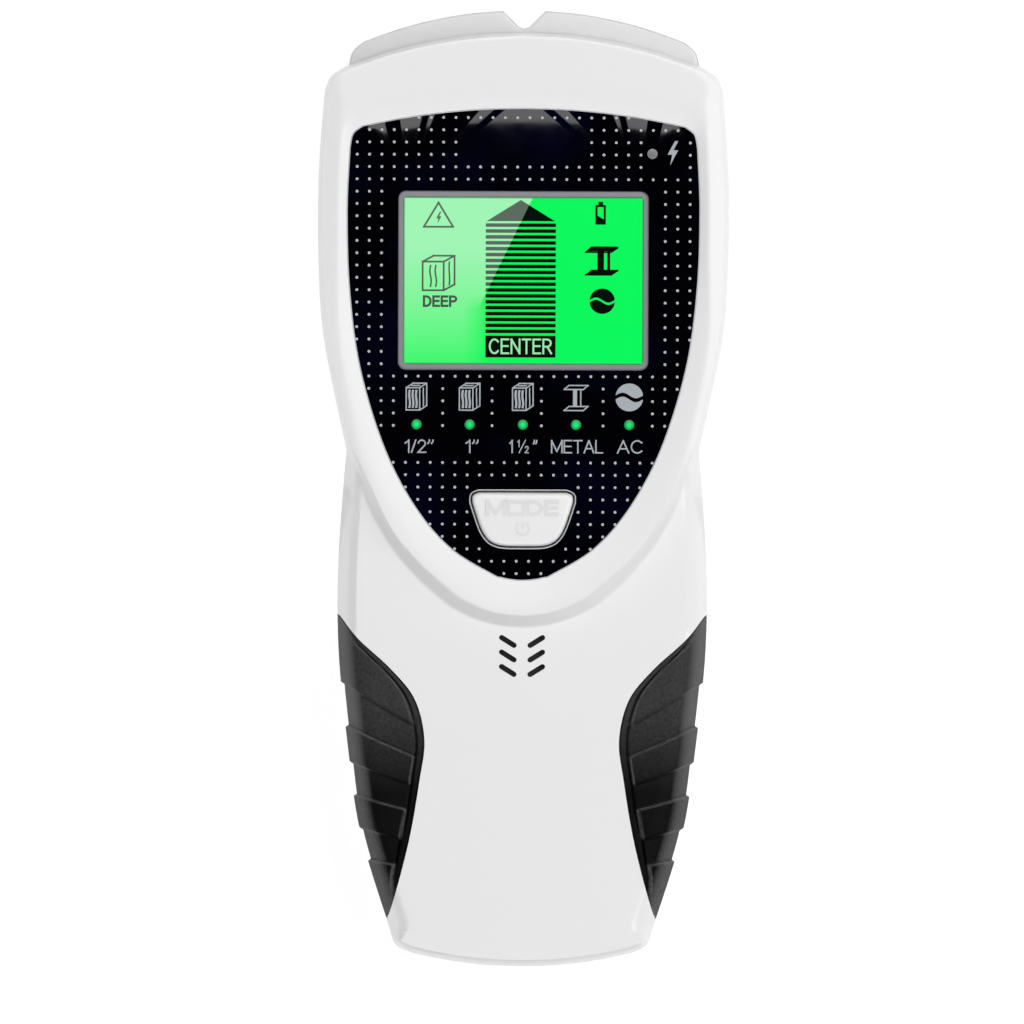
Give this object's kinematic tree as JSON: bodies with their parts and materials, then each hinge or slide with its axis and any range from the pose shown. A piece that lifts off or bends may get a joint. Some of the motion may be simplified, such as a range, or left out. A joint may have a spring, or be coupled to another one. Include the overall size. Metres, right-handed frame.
{
  "type": "stud finder",
  "caption": "Hand-held wall scanner that finds studs, metal and live wires, with a lit display, a mode button, rubber side grips, a marking notch and a battery bay with a sliding door.",
  "frame": {"origin": "middle of the flat back that slides over the wall, at the bottom centre of the bounding box", "axes": "+Z points out of the display face, +Y points to the notched marking end, +X points to the right of somebody reading the display"},
  "size_m": [0.0774, 0.1799, 0.028],
  "materials": {
    "shell_white": "satin injection-moulded ABS with a very fine grain",
    "grip_black": "matt soft-touch elastomer with a fine grain",
    "fascia_black": "clear acrylic, printed black behind, polished",
    "frame_grey": "grey moulded plastic",
    "display_green": "lit green segment display",
    "diffuser_white": "milky light guide",
    "zebra_rubber": "layered conductive rubber",
    "key_white": "satin white keycap with raised lettering",
    "board_green": "glass-fibre circuit board with green solder mask",
    "copper": "bare copper",
    "former_white": "natural nylon",
    "chip_black": "moulded epoxy",
    "tinned_steel": "zinc-plated steel",
    "led_green": "lit green lamp",
    "led_grey": "unlit lamp",
    "battery_jacket": "plain lacquered steel jacket",
    "lead_red": "soft PVC insulation",
    "lead_black": "soft PVC insulation",
    "foam_grey": "open-cell foam",
    "sleeve_blue": "shrunk plastic sleeve"
  },
  "bodies": {
    "housing": {"front_shell": "shell_white", "rear_shell": "shell_white", "grip_left": "grip_black", "grip_right": "grip_black", "fascia": "fascia_black", "display_frame": "frame_grey", "display_glass": "display_green", "display_backlight": "diffuser_white", "display_connector": "zebra_rubber", "switch_body": "chip_black", "range_led_1": "led_green", "range_led_2": "led_green", "range_led_3": "led_green", "range_led_4": "led_green", "range_led_5": "led_green", "warning_led": "led_grey", "main_board": "board_green", "sensor_board": "board_green", "sense_plate_left": "copper", "sense_plate_right": "copper", "coil_former": "former_white", "metal_coil": "copper", "mains_antenna": "copper", "board_link": "chip_black", "microcontroller": "chip_black", "sense_amplifier": "chip_black", "clock_crystal": "tinned_steel", "voltage_regulator": "chip_black", "supply_capacitor": "sleeve_blue", "filter_capacitor": "sleeve_blue", "power_inductor": "chip_black", "sounder": "chip_black", "battery": "battery_jacket", "snap_connector": "lead_black", "battery_lead_red": "lead_red", "battery_lead_black": "lead_black", "sounder_lead_red": "lead_red", "sounder_lead_black": "lead_black", "case_screw_1": "tinned_steel", "case_screw_2": "tinned_steel", "case_screw_3": "tinned_steel", "case_screw_4": "tinned_steel", "board_screw_1": "tinned_steel", "board_screw_2": "tinned_steel", "board_screw_3": "tinned_steel", "board_screw_4": "tinned_steel"},
    "mode_button": {"mode_button": "key_white", "switch_plunger": "chip_black"},
    "battery_door": {"battery_door": "shell_white", "door_foam": "foam_grey"}
  },
  "joints": [
    {"name": "mode_button_press", "type": "slide", "parent": "housing", "child": "mode_button", "axis": [0, 0, -1], "range_m": [0, 0.0005], "stiffness_N_per_m": 1500, "springref_m": -0.0005},
    {"name": "battery_door_slide", "type": "slide", "parent": "housing", "child": "battery_door", "axis": [0, -1, 0], "range_m": [0, 0.06]}
  ]
}
